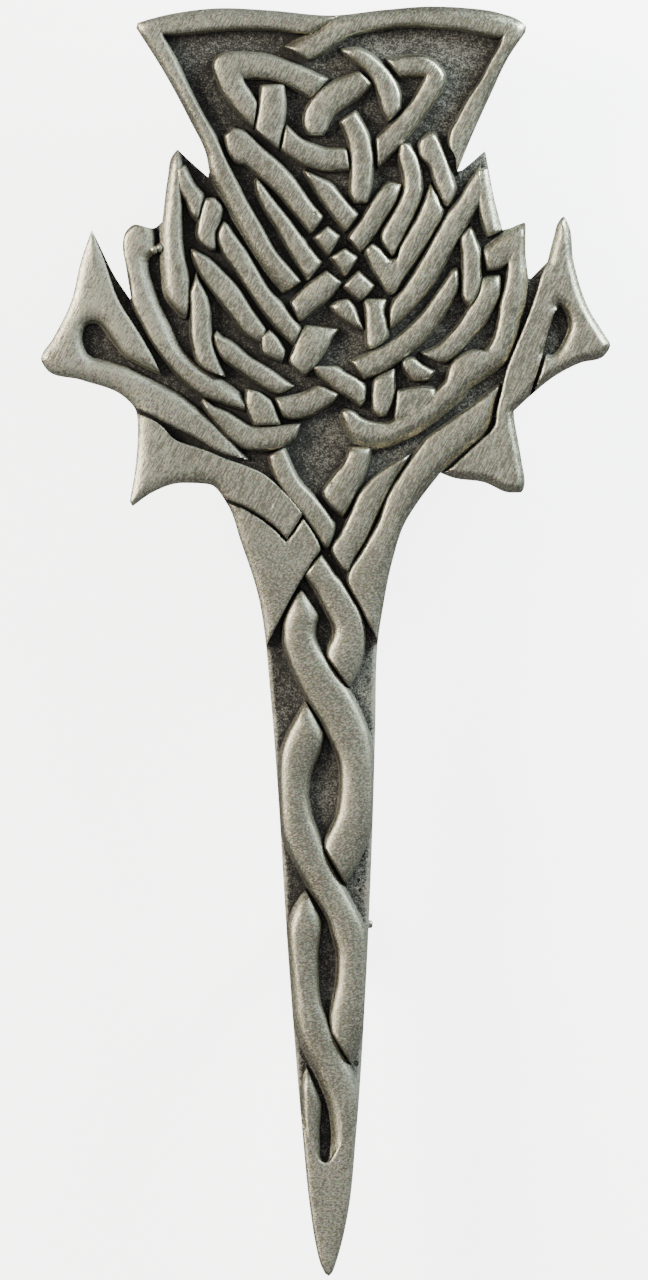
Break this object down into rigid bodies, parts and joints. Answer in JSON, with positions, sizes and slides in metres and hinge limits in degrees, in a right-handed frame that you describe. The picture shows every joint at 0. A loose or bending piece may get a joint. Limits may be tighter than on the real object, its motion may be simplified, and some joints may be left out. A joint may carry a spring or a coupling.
{
  "type": "kilt pin",
  "caption": "Cast pewter kilt pin in the shape of a thistle-headed dirk, with raised woven ribbons, side leaves and a twisted blade, and a plain back fitting with a stem and catch",
  "frame": {"origin": "middle of the footprint, on the surface that the pin lies on with its front up", "axes": "+Z out of the front of the casting, +Y from the blade's point towards the crown, +X to the right when the front is seen with the crown up"},
  "size_m": [0.0426, 0.095, 0.0091],
  "materials": {
    "pewter": "antiqued cast pewter, darkened in the recesses and worn to a soft sheen on the raised ribbons",
    "fitting_steel": "plain plated steel, lightly worn"
  },
  "bodies": {
    "root": {"thistle_plaque": "pewter", "pin_fitting": "fitting_steel"}
  },
  "joints": []
}
